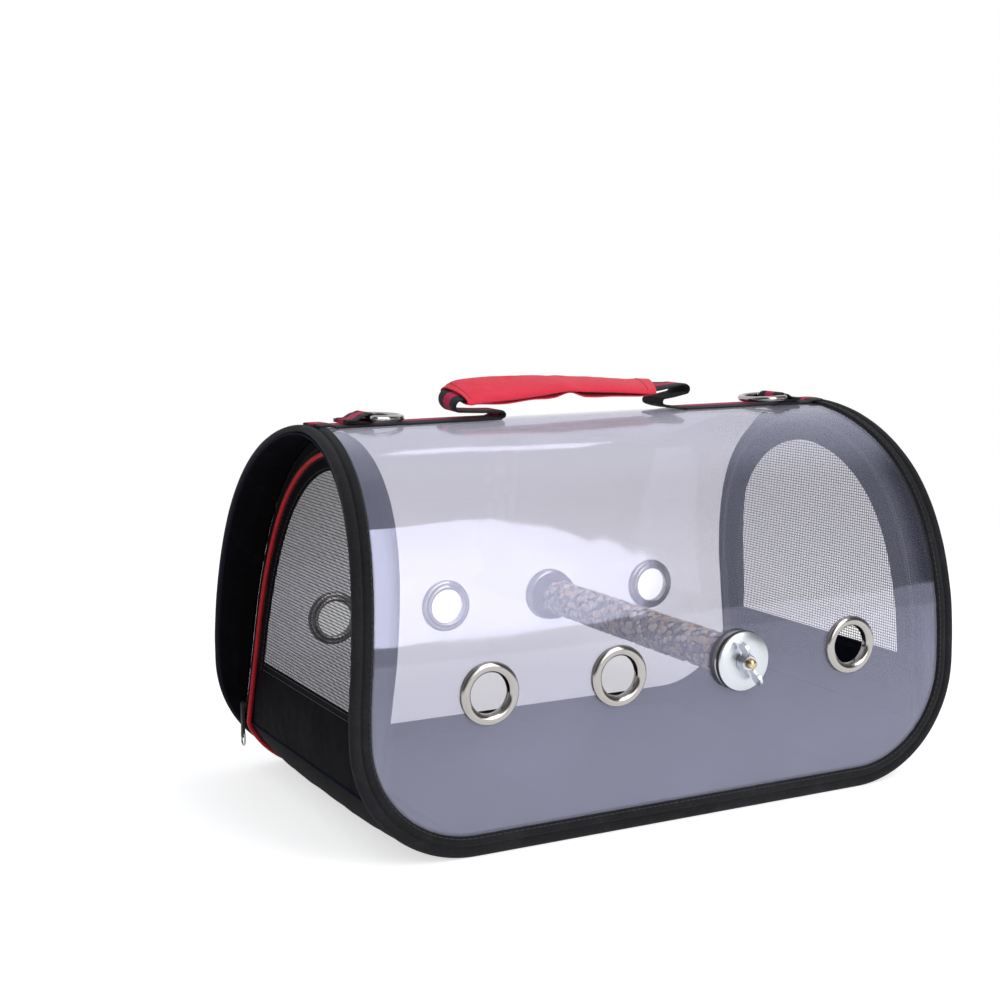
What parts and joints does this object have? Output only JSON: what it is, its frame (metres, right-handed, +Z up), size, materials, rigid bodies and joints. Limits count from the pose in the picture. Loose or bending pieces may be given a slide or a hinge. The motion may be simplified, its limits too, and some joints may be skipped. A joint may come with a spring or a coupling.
{
  "type": "bird travel carrier",
  "caption": "Arched see-through travel carrier for a bird, with net doors at both ends, a crosswise perch, vent eyelets, metal strap rings and a padded handle.",
  "frame": {"origin": "middle of the bounding box at the floor", "axes": "+X along the ridge towards the right door, +Y towards the back, +Z up; the front faces -Y"},
  "size_m": [0.42, 0.2656, 0.2597],
  "materials": {
    "clear_sheet": "clear glossy soft vinyl",
    "black_tape": "woven black binding tape",
    "black_fabric": "plain black polyester",
    "red_piping": "satin red piping",
    "board": "dark covered board",
    "net": "fine black net",
    "zip_teeth": "black coil zip",
    "zip_metal": "black enamelled slider",
    "nickel": "bright nickel plate",
    "zinc": "pale zinc plate",
    "brass": "plain brass",
    "rubber": "black rubber",
    "grit": "rough grit coat, grey with tan chips",
    "webbing": "black webbing with a red stripe",
    "red_wrap": "red padded fabric"
  },
  "bodies": {
    "carrier": {"clear_shell": "clear_sheet", "edge_binding": "black_tape", "left_gusset": "black_fabric", "right_gusset": "black_fabric", "left_corner_panel": "black_fabric", "right_corner_panel": "black_fabric", "left_corner_piping": "red_piping", "right_corner_piping": "red_piping", "base_panel": "black_fabric", "base_board": "board", "perch": "grit", "perch_studs": "brass", "perch_outer_washers": "zinc", "perch_outer_discs": "rubber", "perch_inner_discs": "rubber", "front_eyelets": "nickel", "back_eyelets": "nickel", "front_eyelet_washers": "nickel", "back_eyelet_washers": "nickel", "left_zip_body_half": "zip_teeth", "left_ridge_webbing": "webbing", "left_ring_loop": "webbing", "left_handle_fold": "webbing", "right_zip_body_half": "zip_teeth", "right_ridge_webbing": "webbing", "right_ring_loop": "webbing", "right_handle_fold": "webbing"},
    "left_door": {"left_door_frame": "black_fabric", "left_door_mesh": "net", "left_door_panel": "black_fabric", "left_door_piping": "red_piping", "left_zip_door_half": "zip_teeth"},
    "left_slider": {"left_zip_slider": "zip_metal"},
    "left_pull": {"left_zip_pull": "rubber", "left_zip_pull_end": "nickel"},
    "left_ring": {"left_d_ring": "nickel"},
    "right_door": {"right_door_frame": "black_fabric", "right_door_mesh": "net", "right_door_panel": "black_fabric", "right_door_piping": "red_piping", "right_zip_door_half": "zip_teeth"},
    "right_slider": {"right_zip_slider": "zip_metal"},
    "right_pull": {"right_zip_pull": "rubber", "right_zip_pull_end": "nickel"},
    "right_ring": {"right_d_ring": "nickel"},
    "handle": {"handle_webbing": "webbing", "handle_grip": "red_wrap"},
    "front_nut": {"front_wing_nut": "nickel"},
    "back_nut": {"back_wing_nut": "nickel"}
  },
  "joints": [
    {"name": "left_door_fold", "type": "hinge", "parent": "carrier", "child": "left_door", "pos_m": [-0.192, 0, 0.033], "axis": [0, -1, 0], "range_deg": [0, 100]},
    {"name": "left_zip_slide", "type": "slide", "parent": "carrier", "child": "left_slider", "axis": [0.1374, 0, 0.9905], "range_m": [0, 0.058]},
    {"name": "left_pull_swing", "type": "hinge", "parent": "left_slider", "child": "left_pull", "pos_m": [-0.19442, 0.1066, 0.04394], "axis": [0, 1, 0], "range_deg": [0, 150]},
    {"name": "left_ring_swing", "type": "hinge", "parent": "carrier", "child": "left_ring", "pos_m": [-0.15, 0, 0.2395], "axis": [0, -1, 0], "range_deg": [0, 165]},
    {"name": "right_door_fold", "type": "hinge", "parent": "carrier", "child": "right_door", "pos_m": [0.192, 0, 0.033], "axis": [0, 1, 0], "range_deg": [0, 100]},
    {"name": "right_zip_slide", "type": "slide", "parent": "carrier", "child": "right_slider", "axis": [-0.0785, 0, 0.9969], "range_m": [0, 0.058]},
    {"name": "right_pull_swing", "type": "hinge", "parent": "right_slider", "child": "right_pull", "pos_m": [0.19506, 0.1066, 0.04377], "axis": [0, -1, 0], "range_deg": [0, 150]},
    {"name": "right_ring_swing", "type": "hinge", "parent": "carrier", "child": "right_ring", "pos_m": [0.15, 0, 0.2395], "axis": [0, 1, 0], "range_deg": [0, 165]},
    {"name": "handle_lift", "type": "slide", "parent": "carrier", "child": "handle", "axis": [0, 0, 1], "range_m": [0, 0.03], "deforming": ["left_handle_fold", "right_handle_fold"]},
    {"name": "front_nut_turn", "type": "hinge", "parent": "carrier", "child": "front_nut", "pos_m": [0.042, -0.1234, 0.093], "axis": [0, -1, 0], "continuous": true},
    {"name": "back_nut_turn", "type": "hinge", "parent": "carrier", "child": "back_nut", "pos_m": [0.042, 0.1234, 0.093], "axis": [0, 1, 0], "continuous": true}
  ]
}
